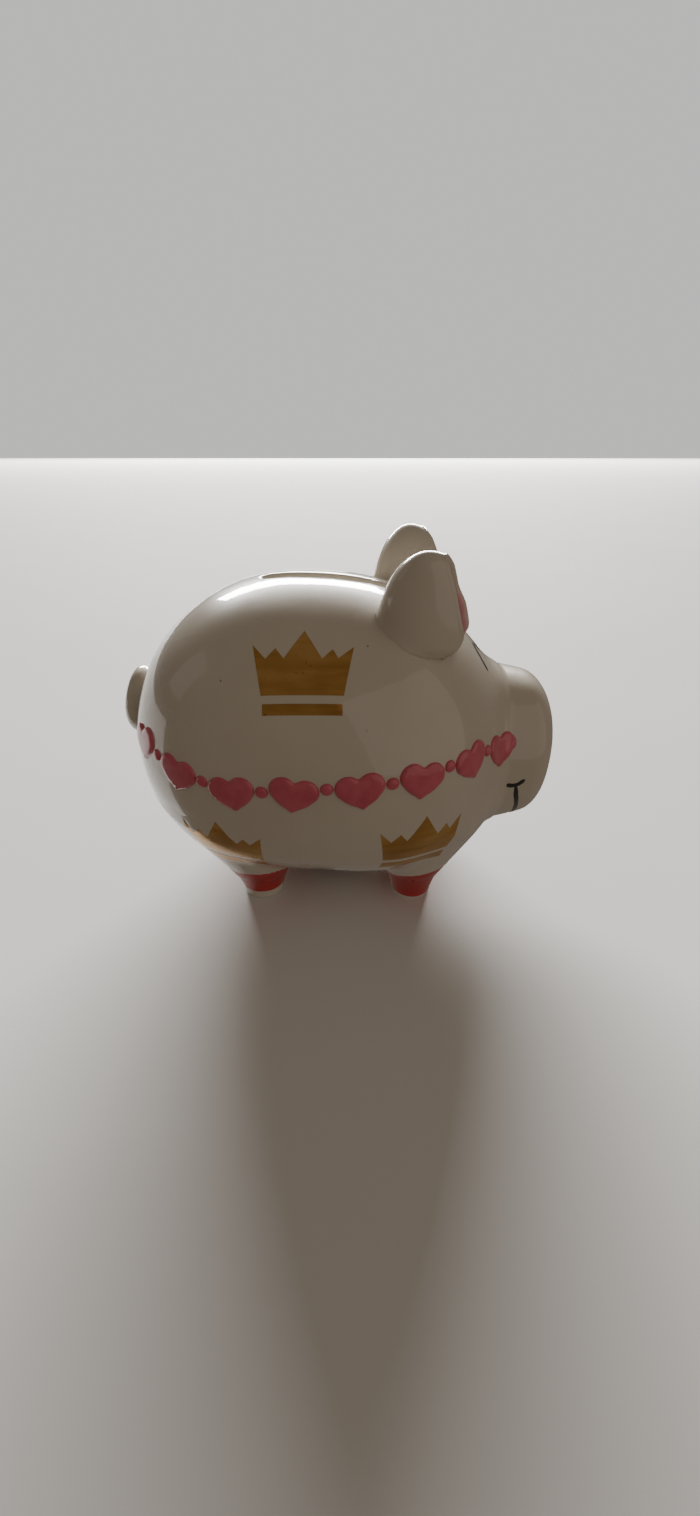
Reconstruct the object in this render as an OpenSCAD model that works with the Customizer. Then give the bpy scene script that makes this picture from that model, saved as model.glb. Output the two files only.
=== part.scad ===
// Ceramic money pig: a hollow slip-cast body with a coin slot, applied ears,
// tail and feet, and a rubber stopper in the belly. Units are millimetres.

/* [Trunk] */
// Length of the egg-shaped trunk behind its widest place
trunk_rear = 55.2; // [48:0.1:62]
// Length of the trunk in front of its widest place
trunk_front = 50.5; // [45:0.1:56]
// Width of the trunk across its widest place
trunk_w = 94; // [84:0.5:104]
// Height of the trunk's axis above the table
axis_z = 48.5; // [44:0.1:54]
// Rise of the back above the axis
back_rise = 46.2; // [40:0.1:52]
// Drop of the belly below the axis
belly_drop = 39.6; // [36:0.1:42]
// How far the crest of the back lies behind the widest place
crest_back = 7; // [0:0.1:14]
// Fullness of the side and belly curves, where 2 is an ellipse
side_power = 2.34; // [2:0.01:2.8]
// Fullness of the back curve, where 2 is an ellipse
crest_power = 2.16; // [2:0.01:2.6]
// Fullness of the cross-section, where 2 is an ellipse
section_power = 2.2; // [2:0.01:2.6]
// Thickness of the cast wall
wall = 4.5; // [3.5:0.1:6]

/* [Snout] */
// Distance of the nose disc ahead of the widest place
snout_reach = 67.4; // [62:0.1:72]
// Height of the snout's axis above the table
snout_z = 44.3; // [40:0.1:49]
// Where the snout starts to taper, ahead of the widest place
snout_from = 20; // [14:0.5:28]
// Height of the snout where it starts
snout_root_h = 61; // [52:0.5:66]
// Height of the snout at the nose disc
snout_end_h = 41.5; // [34:0.5:48]
// Width of the snout where it starts
snout_root_w = 57; // [48:0.5:64]
// Width of the snout at the nose disc
snout_end_w = 38; // [32:0.5:44]
// Length of the rounding round the nose disc
nose_round = 11.4; // [8:0.1:14]
// Fullness of that rounding, where 2 is an ellipse
nose_power = 2.55; // [2:0.05:3.2]
// Softness of the hollow between the trunk and the snout
neck_blend = 6.4; // [3:0.1:9]
// Width of each nostril
nostril_w = 6; // [4:0.1:8]
// Depth of each nostril
nostril_depth = 2.4; // [1:0.1:3]
// Distance between the nostrils' centres
nostril_gap = 13; // [10:0.1:16]
// Height of the nostrils above the snout's axis
nostril_up = 3; // [0:0.5:6]

/* [Coin slot] */
// Length of the slot along the back
slot_len = 36; // [30:0.5:42]
// Width of the slot
slot_w = 4.4; // [4.2:0.1:6]
// Place of the slot's middle ahead of the widest place
slot_x = 1; // [-6:0.5:6]

/* [Ears] */
// Place of the ears ahead of the widest place
ear_x = 24.6; // [20:0.1:29]
// Distance of each ear's foot from the middle plane
ear_y = 20; // [16:0.5:24]
// Height of an ear above the head
ear_rise = 19; // [15:0.5:25]
// Depth of an ear behind its middle
ear_back = 11.4; // [9:0.1:14]
// Depth ahead of its middle that an ear would have without its opening
ear_fore = 14; // [12:0.1:17]
// Width of an ear
ear_w = 18; // [15:0.5:22]
// How far the tip leans outwards
ear_lean = 4.5; // [2:0.5:8]
// Thickness of an ear's back
ear_wall = 2.6; // [2:0.1:3.2]
// Height of the lower lip above the ear's widest level
ear_lip = 4; // [2:0.5:6]
// How far the rim stands ahead of the ear's middle at its foot
ear_front = 12.2; // [10:0.1:13]
// Angle by which the open side turns outwards
ear_turn = 12; // [0:1:25]
// Angle by which the open side leans back
ear_tilt = 16; // [8:1:22]
// Radius by which the rim curls back towards the tip
ear_curl = 36; // [28:1:60]
// Height above the ear's foot where the rim starts to curl back
ear_curl_from = 9; // [6:0.5:14]

/* [Tail] */
// Height of the curl's centre above the trunk's axis
tail_up = 9; // [4:0.5:15]
// Radius of the curl
tail_r = 7; // [6:0.1:9]
// Thickness of the tail where it leaves the rump
tail_root_d = 7; // [5:0.1:8]
// Thickness of the tail at its tip
tail_tip_d = 5; // [3:0.1:6]
// How far the tip stands off the rump
tail_off = 5.2; // [4.6:0.1:8]
// Angle by which the curl faces upwards
tail_tilt = 20; // [5:1:35]

/* [Feet] */
// Height of a foot, up to its joint with the leg
foot_h = 9.5; // [7:0.1:10]
// Width of a foot's sole
sole_d = 12.6; // [9:0.1:14.4]
// Width of a foot at its joint
foot_d = 17.4; // [15.4:0.1:19]
// Rounding of the sole's edge
sole_round = 1; // [0.4:0.1:2]
// Place of the front feet ahead of the widest place
front_foot_x = 26.8; // [22:0.1:32]
// Distance of the front feet from the middle plane
front_foot_y = 19; // [16:0.5:24]
// Place of the rear feet behind the widest place
rear_foot_x = 21; // [16:0.1:26]
// Distance of the rear feet from the middle plane
rear_foot_y = 20; // [16:0.5:24]
// Width of the thigh inside the body that each leg grows from
thigh_d = 32; // [28:0.5:34]
// How far each front thigh lies ahead of its foot
front_thigh_shift = 1.5; // [0:0.1:4]
// How far each rear thigh lies behind its foot
rear_thigh_shift = 3; // [0:0.1:5]

/* [Stopper] */
// Diameter of the hole in the belly
hole_d = 28; // [22:0.5:30]
// Depth of the flat land round the hole above the lowest belly
land_rise = 1.5; // [1.2:0.1:2.5]
// Width of the flange beyond the hole on each side
flange_over = 3.4; // [2:0.1:4]
// Thickness of the flange
flange_t = 2.2; // [1.5:0.1:3]
// Length of the plug inside the hole
plug_len = 8; // [6:0.5:12]
// Clearance between the plug's beads and the hole
plug_fit = 0.1; // [0.05:0.01:0.3]
// Height of the beads on the plug
bead = 0.5; // [0.3:0.1:0.8]
// Wall of the stopper around its finger recess
stopper_wall = 4; // [3:0.1:5]
// Thickness of the bar across the finger recess
grip_t = 3; // [2:0.1:4]
// Rounding of the flange's outer edge
flange_round = 0.6; // [0.2:0.1:1]
// Width of the flat land that shows round the flange
land_edge = 1; // [0.5:0.1:2]

/* [Hidden] */
// Rings along the body and points round each ring, outside and inside
body_rings = 50;
body_sides = 40;
cavity_rings = 34;
cavity_sides = 28;
// Rings and points of an ear, and of the hollow in it
ear_rings = 16;
ear_sides = 20;
// Rings and points of the tail
tail_rings = 40;
tail_sides = 12;
$fn = 48;
white = [0.90, 0.88, 0.84];
red = [0.72, 0.10, 0.10];
rubber = [0.10, 0.10, 0.10];
// The nose disc and the tail's tip are the two ends, and the frame is centred between them
tail_end = rump_x(tail_up) + tail_off * cos(tail_tilt) + tail_r * sin(tail_tilt) + tail_tip_d * 0.42;
mid_x = (snout_reach - tail_end) / 2;
land_z = axis_z - belly_drop + land_rise;
flange_r = hole_d / 2 + flange_over;
// How far a cut runs past the face that it opens
past = 1;

// Soft maximum of two curves, rounded over the width k
function soft_max(a, b, k) = (a + b + sqrt(pow(a - b, 2) + k * k)) / 2;
// Half profile of an egg, 1 at mid and 0 at its two ends
function egg(x, mid, rear, front, power) =
    let (u = x < mid ? (mid - x) / (mid + rear) : (x - mid) / (front - mid))
    pow(max(0, 1 - pow(min(1, u), power)), 1 / power);
// Point of a superellipse at an angle
function bulge(c, power) = sign(c) * pow(abs(c), 2 / power);

// Profiles of the body at x, at the depth t below its outer face
function taper(x) = max(0, min(1, (x - snout_from) / (snout_reach - snout_from)));
function nose_end(x, t) =
    let (u = max(0, min(1, (x - snout_reach + nose_round) / (nose_round - t))))
    pow(1 - pow(u, nose_power), 1 / nose_power);
function snout_half(x, t, root, end) = ((root + (end - root) * taper(x)) / 2 - t) * nose_end(x, t);
function blend(x) =
    neck_blend * max(0, min(1, (snout_reach - x) / 10)) * max(0, min(1, (x + 10) / 30));
function trunk_top(x, t) =
    axis_z + (back_rise - t) * egg(x, -crest_back, trunk_rear - t, trunk_front - t, crest_power);
function trunk_side(x, t) = egg(x, 0, trunk_rear - t, trunk_front - t, side_power);
function top_z(x, t = 0) =
    let (s = snout_z + snout_half(x, t, snout_root_h, snout_end_h))
    x < 0 ? trunk_top(x, t) : x > trunk_front - t ? s : soft_max(trunk_top(x, t), s, blend(x));
function low_z(x, t = 0) =
    let (b = axis_z - (belly_drop - t) * trunk_side(x, t),
         s = snout_z - snout_half(x, t, snout_root_h, snout_end_h))
    x < 0 ? b : x > trunk_front - t ? s : -soft_max(-b, -s, blend(x));
function half_w(x, t = 0) =
    let (b = (trunk_w / 2 - t) * trunk_side(x, t),
         s = snout_half(x, t, snout_root_w, snout_end_w))
    x < 0 ? b : x > trunk_front - t ? s : soft_max(b, s, blend(x));
function mid_z(x, t = 0) = (top_z(x, t) + low_z(x, t)) / 2;
function half_h(x, t = 0) = (top_z(x, t) - low_z(x, t)) / 2;
// Height of the head's upper face at x and y
function head_z(x, y) =
    mid_z(x) + half_h(x) * pow(1 - pow(abs(y) / half_w(x), section_power), 1 / section_power);
// How far behind the widest place the rump's middle line is, at a height above the axis
function rump_x(up) =
    crest_back + (trunk_rear - crest_back) * pow(1 - pow(up / back_rise, crest_power), 1 / crest_power);

// Triangles of a closed loft: rings of n points after one pole, then the other pole
function loft_faces(rings, n) = concat(
    [for (j = [0 : n - 1]) [0, 1 + j, 1 + (j + 1) % n]],
    [for (i = [0 : rings - 2], j = [0 : n - 1], k = [0, 1])
        let (a = 1 + i * n + j, b = 1 + i * n + (j + 1) % n)
        k == 0 ? [a, a + n, b] : [b, a + n, b + n]],
    [for (j = [0 : n - 1])
        let (last = 1 + (rings - 1) * n)
        [last + j, last + n, last + (j + 1) % n]]
);

module place() {
    translate([-mid_x, 0, 0])
        children();
}

// Body of egg and snout at the depth t below the outer face, from one of its rings to another
module body_loft(t, rings, n, first = 1, last = 0) {
    rear = -trunk_rear + t;
    front = snout_reach - t;
    end = last == 0 ? rings : last;
    function station(i) = rear + (front - rear) * (1 - cos(180 * i / (rings + 1))) / 2;
    tip = first == 1 ? rear : station(first);
    nose = end == rings ? front : station(end);
    points = concat(
        [[tip, 0, mid_z(tip, t)]],
        [for (i = [first : end], j = [0 : n - 1])
            let (x = station(i), a = 360 * (j + 0.5) / n)
            [x, half_w(x, t) * bulge(cos(a), section_power),
             mid_z(x, t) + half_h(x, t) * bulge(sin(a), section_power)]],
        [[nose, 0, mid_z(nose, t)]]
    );
    polyhedron(points, loft_faces(end - first + 1, n));
}

// Number of the body's ring that is next to x
function ring_at(x) =
    round((body_rings + 1) * acos(1 - 2 * (x + trunk_rear) / (snout_reach + trunk_rear)) / 180);

// Stretch of the body's outer face from one place along it to another
module outer_body(from_x = -trunk_rear, to_x = snout_reach) {
    body_loft(0, body_rings, body_sides, max(1, ring_at(from_x)), min(body_rings, ring_at(to_x)));
}

// Leg root that leads from a thigh inside the body to the joint with a foot
module leg_root(x, y, shift) {
    thigh_z = axis_z - belly_drop / 2;
    inwards = 2.5;
    hull() {
        translate([x, y, foot_h])
            cylinder(h = 1, d = foot_d, $fn = 32);
        translate([x + shift, y - sign(y) * inwards, thigh_z])
            sphere(d = thigh_d, $fn = 24);
    }
}

module slot_cut() {
    bottom = axis_z;
    top = axis_z + back_rise + past;
    ends = slot_len / 2 - slot_w / 2;
    translate([slot_x, 0, bottom]) {
        translate([-ends, -slot_w / 2, 0])
            cube([2 * ends, slot_w, top - bottom]);
        for (s = [-1, 1])
            translate([s * ends, 0, 0])
                cylinder(h = top - bottom, d = slot_w);
    }
}

module nostrils() {
    for (s = [-1, 1])
        translate([snout_reach - nostril_depth, s * nostril_gap / 2, snout_z + nostril_up])
            rotate([0, 90, 0])
                cylinder(h = nostril_depth + past, d1 = nostril_w * 2 / 3, d2 = nostril_w);
}

module body_shell() {
    color(white) place() difference() {
        union() {
            difference() {
                union() {
                    outer_body();
                    for (s = [-1, 1]) {
                        leg_root(front_foot_x, s * front_foot_y, front_thigh_shift);
                        leg_root(-rear_foot_x, s * rear_foot_y, -rear_thigh_shift);
                    }
                }
                body_loft(wall, cavity_rings, cavity_sides);
            }
            translate([0, 0, land_z])
                cylinder(h = wall, r = flange_r + land_edge);
        }
        translate([0, 0, land_z - land_rise - wall])
            cylinder(h = land_rise + wall, r = flange_r + land_edge);
        translate([0, 0, land_z - past])
            cylinder(h = axis_z - land_z, d = hole_d);
        slot_cut();
        nostrils();
    }
}

// Upright egg with its widest level at the head, leaning outwards by lean at its top
module ear_egg(back, fore, width, up, down, lean) {
    points = concat(
        [[0, 0, -down]],
        [for (i = [1 : ear_rings], j = [0 : ear_sides - 1])
            let (f = -cos(180 * i / (ear_rings + 1)),
                 r = sqrt(1 - f * f),
                 a = 360 * j / ear_sides,
                 z = f < 0 ? f * down : f * up)
            [(cos(a) < 0 ? back : fore) * r * cos(a), width / 2 * r * sin(a) + lean * max(0, f) * max(0, f), z]],
        [[0, lean, up]]
    );
    polyhedron(points, loft_faces(ear_rings, ear_sides));
}

// Space in front of an ear's rim, which leans back and then curls back further towards the tip
module rim_cut(low, high) {
    steps = 14;
    far = ear_front + 2 * ear_fore;
    function rim_x(z) = ear_front - z * tan(ear_tilt) - pow(max(0, z - ear_curl_from), 2) / (2 * ear_curl);
    rim = [for (i = [0 : steps]) let (z = low + (high - low) * i / steps) [rim_x(z), z]];
    rotate([0, 0, ear_turn])
        rotate([90, 0, 0])
            linear_extrude(height = 4 * ear_w, center = true)
                polygon(concat(rim, [[far, high], [far, low]]));
}

// Ear on the side s, a cup with its rim to the front
module ear(s) {
    sink = 2;
    base_z = head_z(ear_x, ear_y) - sink;
    up = ear_rise + sink;
    down = ear_back * 0.4;
    color(white) place() difference() {
        translate([ear_x, s * ear_y, base_z])
            mirror([0, s < 0 ? 1 : 0, 0])
                difference() {
                    ear_egg(ear_back, ear_fore, ear_w, up, down, ear_lean);
                    rim_cut(-2 * down, up + down);
                    translate([0, 0, ear_lip])
                        ear_egg(ear_back - ear_wall, ear_fore - ear_wall / 3, ear_w - 2 * ear_wall,
                                up - ear_wall - ear_lip, ear_lip, ear_lean);
                }
        outer_body(ear_x - 2 * ear_back, ear_x + 2 * ear_fore);
    }
}

module ear_left() {
    ear(1);
}

module ear_right() {
    ear(-1);
}

// Curled tail: one turn of a helix that winds away from the rump, with a rounded tip
module tail() {
    root_sink = 2;
    tip_share = 0.06;
    rise_power = 0.8;
    function angle(t) = -90 + 360 * t;
    function rounding(t) = sqrt(max(0, 1 - pow(max(0, t - 1 + tip_share) / tip_share, 2)));
    function radius(t) = (tail_root_d + (tail_tip_d - tail_root_d) * t) / 2 * rounding(t);
    function spot(t) =
        let (out = (tail_off + root_sink) * pow(t, rise_power) - root_sink)
        [-out, -tail_r * cos(angle(t)), tail_r * sin(angle(t))];
    function ring(t) =
        [for (j = [0 : tail_sides - 1])
            let (b = 360 * j / tail_sides, r = radius(t))
            spot(t) + r * [-sin(b), -cos(b) * cos(angle(t)), cos(b) * sin(angle(t))]];
    points = concat(
        [spot(0)],
        [for (i = [0 : tail_rings - 1]) each ring(i / tail_rings)],
        [spot(1)]
    );
    color(white) place() difference() {
        translate([-rump_x(tail_up), 0, axis_z + tail_up])
            rotate([0, tail_tilt, 0])
                polyhedron(points, loft_faces(tail_rings, tail_sides));
        outer_body(-trunk_rear, -trunk_rear / 2);
    }
}

// Foot: a tapered stub with a rounded sole edge, joined to its leg at the top
module foot(x, y) {
    sole_r = sole_d / 2;
    color(red) place() translate([x, y, 0])
        rotate_extrude()
            polygon(concat(
                [[0, 0]],
                [for (a = [-90 : 15 : 0])
                    [sole_r - sole_round + sole_round * cos(a), sole_round + sole_round * sin(a)]],
                [[foot_d / 2, foot_h], [0, foot_h]]
            ));
}

module foot_front_left() {
    foot(front_foot_x, front_foot_y);
}

module foot_front_right() {
    foot(front_foot_x, -front_foot_y);
}

module foot_rear_left() {
    foot(-rear_foot_x, rear_foot_y);
}

module foot_rear_right() {
    foot(-rear_foot_x, -rear_foot_y);
}

// Stopper: a beaded plug above a flange, with a finger recess and a bar across it
module belly_stopper() {
    bead_r = hole_d / 2 - plug_fit;
    plug_r = bead_r - bead;
    recess_r = plug_r - stopper_wall;
    recess_top = plug_len - stopper_wall;
    bead_h = plug_len / 5;
    function bead_at(z) = [
        [plug_r, z - bead_h / 2], [bead_r, z - bead_h / 6],
        [bead_r, z + bead_h / 6], [plug_r, z + bead_h / 2]
    ];
    color(rubber) place() translate([0, 0, land_z]) {
        rotate_extrude()
            polygon(concat(
                [[0, plug_len], [0, recess_top], [recess_r, recess_top], [recess_r, -flange_t],
                 [flange_r - flange_round, -flange_t], [flange_r, -flange_t + flange_round],
                 [flange_r, 0], [plug_r, 0]],
                bead_at(plug_len / 3),
                bead_at(plug_len * 2 / 3),
                [[plug_r, plug_len - flange_round], [plug_r - flange_round, plug_len]]
            ));
        translate([-recess_r, -grip_t / 2, -flange_t])
            cube([2 * recess_r, grip_t, recess_top + flange_t]);
    }
}

body_shell();
ear_left();
ear_right();
tail();
foot_front_left();
foot_front_right();
foot_rear_left();
foot_rear_right();
belly_stopper();
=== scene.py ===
import math

import bmesh
import bpy
from mathutils import Matrix, Vector
from mathutils.bvhtree import BVHTree


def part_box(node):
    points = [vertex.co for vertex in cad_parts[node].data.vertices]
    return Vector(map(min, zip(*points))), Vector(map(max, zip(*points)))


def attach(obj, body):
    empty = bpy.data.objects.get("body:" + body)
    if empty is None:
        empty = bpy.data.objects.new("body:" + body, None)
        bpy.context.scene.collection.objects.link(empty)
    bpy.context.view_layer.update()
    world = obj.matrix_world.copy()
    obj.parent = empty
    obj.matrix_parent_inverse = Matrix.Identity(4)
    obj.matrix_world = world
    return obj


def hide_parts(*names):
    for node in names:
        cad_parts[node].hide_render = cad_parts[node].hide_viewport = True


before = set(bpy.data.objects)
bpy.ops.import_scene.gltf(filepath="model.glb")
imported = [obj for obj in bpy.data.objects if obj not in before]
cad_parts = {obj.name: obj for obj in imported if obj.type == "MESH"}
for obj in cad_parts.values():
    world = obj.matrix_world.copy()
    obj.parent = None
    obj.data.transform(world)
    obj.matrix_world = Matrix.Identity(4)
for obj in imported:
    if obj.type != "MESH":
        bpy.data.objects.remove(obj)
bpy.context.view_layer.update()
mm = 0.001
weldGap, sliver = 0.001, 0.002

# Every piece is modelled in mm, with x counted from the trunk's widest place, where the stopper hangs
stopperLow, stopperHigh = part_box("belly_stopper")
wideX = (stopperLow.x + stopperHigh.x) / 2 / mm


def clamp01(t):
    return max(0.0, min(1.0, t))


def ease(t):
    t = clamp01(t)
    return t * t * (3 - 2 * t)


def sign(t):
    return -1.0 if t < 0 else 1.0


def softMax(a, b, width):
    return (a + b + math.hypot(a - b, width)) / 2


def boundaryLoop(bm, near):
    return [e for e in bm.edges if e.is_boundary and near((e.verts[0].co + e.verts[1].co) / 2)]


def extrudeLoop(bm, loop):
    made = bmesh.ops.extrude_edge_only(bm, edges=loop)["geom"]
    verts = [g for g in made if isinstance(g, bmesh.types.BMVert)]
    edges = [g for g in made if isinstance(g, bmesh.types.BMEdge) and g.is_boundary]
    return verts, edges


def finishPiece(bm, name, materials, body="pig", nodes=(), sharp=60):
    # faces outwards
    if bm.calc_volume(signed=True) < 0:
        bmesh.ops.reverse_faces(bm, faces=bm.faces)
    bmesh.ops.translate(bm, vec=(wideX, 0, 0), verts=bm.verts)
    bmesh.ops.scale(bm, vec=(mm, mm, mm), verts=bm.verts)
    mesh = bpy.data.meshes.new(name)
    bm.to_mesh(mesh)
    bm.free()
    mesh.shade_smooth()
    mesh.set_sharp_from_angle(angle=math.radians(sharp))
    for material in materials:
        mesh.materials.append(material)
    piece = bpy.data.objects.new(name, mesh)
    bpy.context.scene.collection.objects.link(piece)
    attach(piece, body)
    if nodes:
        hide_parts(*nodes)
    print("piece", name, len(mesh.polygons), "faces")
    return piece


# Materials

def newMaterial(name):
    material = bpy.data.materials.new(name)
    material.use_nodes = True
    tree = material.node_tree
    return material, tree, tree.nodes["Principled BSDF"]


def addNode(tree, kind, **inputs):
    node = tree.nodes.new(kind)
    for key, value in inputs.items():
        node.inputs[key].default_value = value
    return node


def objectNoise(tree, scale, detail=2.0, roughness=0.5, stretch=None):
    noise = addNode(tree, "ShaderNodeTexNoise", Scale=scale, Detail=detail, Roughness=roughness)
    place = tree.nodes.new("ShaderNodeTexCoord").outputs["Object"]
    if stretch:
        mapping = addNode(tree, "ShaderNodeMapping", Scale=stretch)
        tree.links.new(place, mapping.inputs["Vector"])
        place = mapping.outputs["Vector"]
    tree.links.new(place, noise.inputs["Vector"])
    return noise.outputs["Fac"]


def colorRamp(tree, source, stops):
    ramp = tree.nodes.new("ShaderNodeValToRGB")
    for spot, color in zip((0, -1), (stops[0], stops[-1])):
        ramp.color_ramp.elements[spot].position = color[0]
        ramp.color_ramp.elements[spot].color = (*color[1], 1)
    for position, color in stops[1:-1]:
        ramp.color_ramp.elements.new(position).color = (*color, 1)
    tree.links.new(source, ramp.inputs["Fac"])
    return ramp.outputs["Color"]


def mapRange(tree, source, low, high, toLow=0.0, toHigh=1.0, smooth=True):
    node = tree.nodes.new("ShaderNodeMapRange")
    node.interpolation_type = "SMOOTHSTEP" if smooth else "LINEAR"
    for key, value in zip(("From Min", "From Max", "To Min", "To Max"), (low, high, toLow, toHigh)):
        node.inputs[key].default_value = value
    tree.links.new(source, node.inputs["Value"])
    return node.outputs["Result"]


def mathNode(tree, operation, a, b):
    node = tree.nodes.new("ShaderNodeMath")
    node.operation = operation
    for socket, value in zip(node.inputs, (a, b)):
        if isinstance(value, (int, float)):
            socket.default_value = value
        else:
            tree.links.new(value, socket)
    return node.outputs["Value"]


def mixColor(tree, factor, a, b):
    node = tree.nodes.new("ShaderNodeMix")
    node.data_type = "RGBA"
    tree.links.new(factor, node.inputs["Factor"])
    for key, value in (("A", a), ("B", b)):
        socket = [s for s in node.inputs if s.name == key and s.type == "RGBA"][0]
        if isinstance(value, tuple):
            socket.default_value = (*value, 1)
        else:
            tree.links.new(value, socket)
    return [s for s in node.outputs if s.type == "RGBA"][0]


def addBump(tree, shader, heights):
    normal = None
    for source, strength, distance in heights:
        bump = addNode(tree, "ShaderNodeBump", Strength=strength, Distance=distance)
        tree.links.new(source, bump.inputs["Height"])
        if normal:
            tree.links.new(normal, bump.inputs["Normal"])
        normal = bump.outputs["Normal"]
    tree.links.new(normal, shader.inputs["Normal"])
    return normal


glazeLook = {
    "light": (0.68, 0.624, 0.535), "warm": (0.62, 0.563, 0.47),
    "speck": (0.16, 0.12, 0.09), "speckScale": 210, "speckSize": 0.085, "speckRare": 0.955,
    "coatRoughness": 0.035, "underGloss": 0.2,
}


def glazeMaterial(name, paint=None):
    material, tree, shader = newMaterial(name)
    cloud = objectNoise(tree, 22, 3, 0.55)
    color = colorRamp(tree, cloud, [(0.35, glazeLook["warm"]), (0.65, glazeLook["light"])])
    # a few dark iron specks under the glaze
    cells = addNode(tree, "ShaderNodeTexVoronoi", Scale=glazeLook["speckScale"])
    tree.links.new(tree.nodes.new("ShaderNodeTexCoord").outputs["Object"], cells.inputs["Vector"])
    split = tree.nodes.new("ShaderNodeSeparateColor")
    tree.links.new(cells.outputs["Color"], split.inputs["Color"])
    rare = mapRange(tree, split.outputs["Red"], glazeLook["speckRare"], glazeLook["speckRare"] + 0.01)
    spot = mapRange(tree, cells.outputs["Distance"], glazeLook["speckSize"], glazeLook["speckSize"] * 0.4)
    specks = mathNode(tree, "MULTIPLY", mathNode(tree, "MULTIPLY", rare, spot), 0.7)
    color = mixColor(tree, specks, color, glazeLook["speck"])
    if paint:
        # the layer holds how far inside the painted edge the surface is, in mm
        layer = tree.nodes.new("ShaderNodeAttribute")
        layer.attribute_name = "paintEdge"
        wobble = mapRange(tree, objectNoise(tree, 240, 3), 0, 1, -paint["wobble"], paint["wobble"], False)
        edge = mathNode(tree, "ADD", layer.outputs["Fac"], wobble)
        cover = mapRange(tree, edge, 0.0, paint["soft"])
        strokes = objectNoise(tree, 160, 4, 0.6, paint["stretch"])
        # further inside the edge the colour goes from thin to thick: on the feet this is thicker red paint,
        # in the ear cups it is painted shade that darkens the pink towards the bottom of the cup
        deep = mathNode(tree, "ADD", mathNode(tree, "MULTIPLY", edge, paint["thickPaintAndShade"]), strokes)
        coat = colorRamp(tree, deep, [(0.3, paint["thin"]), (0.75, paint["thick"])])
        color = mixColor(tree, cover, color, coat)
        coatWeight = mapRange(tree, cover, 0, 1, 1.0, paint["gloss"], False)
        tree.links.new(coatWeight, shader.inputs["Coat Weight"])
    tree.links.new(color, shader.inputs["Base Color"])
    shader.inputs["Specular IOR Level"].default_value = glazeLook["underGloss"]
    satin = mapRange(tree, objectNoise(tree, 60, 3), 0.3, 0.7, 0.24, 0.36)
    tree.links.new(satin, shader.inputs["Roughness"])
    shader.inputs["Coat Weight"].default_value = 1.0
    shader.inputs["Coat Roughness"].default_value = glazeLook["coatRoughness"]
    normal = addBump(tree, shader, [(objectNoise(tree, 26, 1), 0.16, 0.0024),
                                    (objectNoise(tree, 150, 2), 0.07, 0.0006),
                                    (objectNoise(tree, 900, 2), 0.05, 0.00012)])
    tree.links.new(normal, shader.inputs["Coat Normal"])
    return material


redPaint = {"thin": (0.60, 0.024, 0.026), "thick": (0.46, 0.012, 0.015), "gloss": 0.5,
            "wobble": 0.35, "soft": 0.25, "thickPaintAndShade": 0.03, "stretch": (1, 1, 3)}
# in the ear cups this pink is darkened towards the bottom of the cup as painted shade of the hollow
pinkPaint = {"thin": (0.83, 0.50, 0.52), "thick": (0.76, 0.33, 0.38), "gloss": 0.8,
             "wobble": 0.5, "soft": 0.9, "thickPaintAndShade": 0.03, "stretch": (1, 1, 0.4)}
whiteGlaze = glazeMaterial("white_glaze")
footedGlaze = glazeMaterial("white_glaze_red_foot", redPaint)
earGlaze = glazeMaterial("white_glaze_pink_ear", pinkPaint)


def clayMaterial():
    material, tree, shader = newMaterial("bare_clay")
    grain = objectNoise(tree, 700, 5, 0.65)
    tree.links.new(colorRamp(tree, grain, [(0.3, (0.55, 0.50, 0.43)), (0.7, (0.70, 0.66, 0.59))]),
                   shader.inputs["Base Color"])
    shader.inputs["Roughness"].default_value = 0.85
    addBump(tree, shader, [(grain, 0.3, 0.0003)])
    return material


def goldMaterial():
    material, tree, shader = newMaterial("gold_lustre")
    streaks = objectNoise(tree, 140, 4, 0.6, (0.25, 1, 2.2))
    cloud = objectNoise(tree, 70, 3)
    gold = colorRamp(tree, mathNode(tree, "ADD", mathNode(tree, "MULTIPLY", streaks, 0.5),
                                    mathNode(tree, "MULTIPLY", cloud, 0.5)),
                     [(0.32, (0.40, 0.20, 0.045)), (0.5, (0.56, 0.31, 0.085)), (0.68, (0.72, 0.45, 0.16))])
    # worn pinholes where the brown underside of the lustre shows
    worn = mapRange(tree, objectNoise(tree, 1300, 2), 0.70, 0.76)
    tree.links.new(mixColor(tree, worn, gold, (0.20, 0.10, 0.035)), shader.inputs["Base Color"])
    shader.inputs["Metallic"].default_value = 0.7
    tree.links.new(mapRange(tree, streaks, 0.3, 0.75, 0.08, 0.24), shader.inputs["Roughness"])
    addBump(tree, shader, [(cloud, 0.10, 0.0010), (streaks, 0.08, 0.0002)])
    return material


def enamelMaterial(name, thin, thick, coatRoughness):
    material, tree, shader = newMaterial(name)
    brush = objectNoise(tree, 260, 4, 0.6)
    tree.links.new(colorRamp(tree, brush, [(0.32, thin), (0.68, thick)]), shader.inputs["Base Color"])
    tree.links.new(mapRange(tree, brush, 0.3, 0.7, 0.28, 0.42), shader.inputs["Roughness"])
    shader.inputs["Coat Weight"].default_value = 1.0
    shader.inputs["Coat Roughness"].default_value = coatRoughness
    shader.inputs["Specular IOR Level"].default_value = glazeLook["underGloss"]
    normal = addBump(tree, shader, [(brush, 0.12, 0.0004)])
    tree.links.new(normal, shader.inputs["Coat Normal"])
    return material


def rubberMaterial():
    material, tree, shader = newMaterial("stopper_rubber")
    dust = objectNoise(tree, 90, 6, 0.7)
    grain = objectNoise(tree, 2200, 3, 0.6)
    tree.links.new(colorRamp(tree, dust, [(0.4, (0.018, 0.018, 0.019)), (0.72, (0.055, 0.052, 0.05))]),
                   shader.inputs["Base Color"])
    tree.links.new(mapRange(tree, dust, 0.35, 0.7, 0.48, 0.72), shader.inputs["Roughness"])
    addBump(tree, shader, [(grain, 0.25, 0.00008), (dust, 0.1, 0.0003)])
    return material


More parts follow.
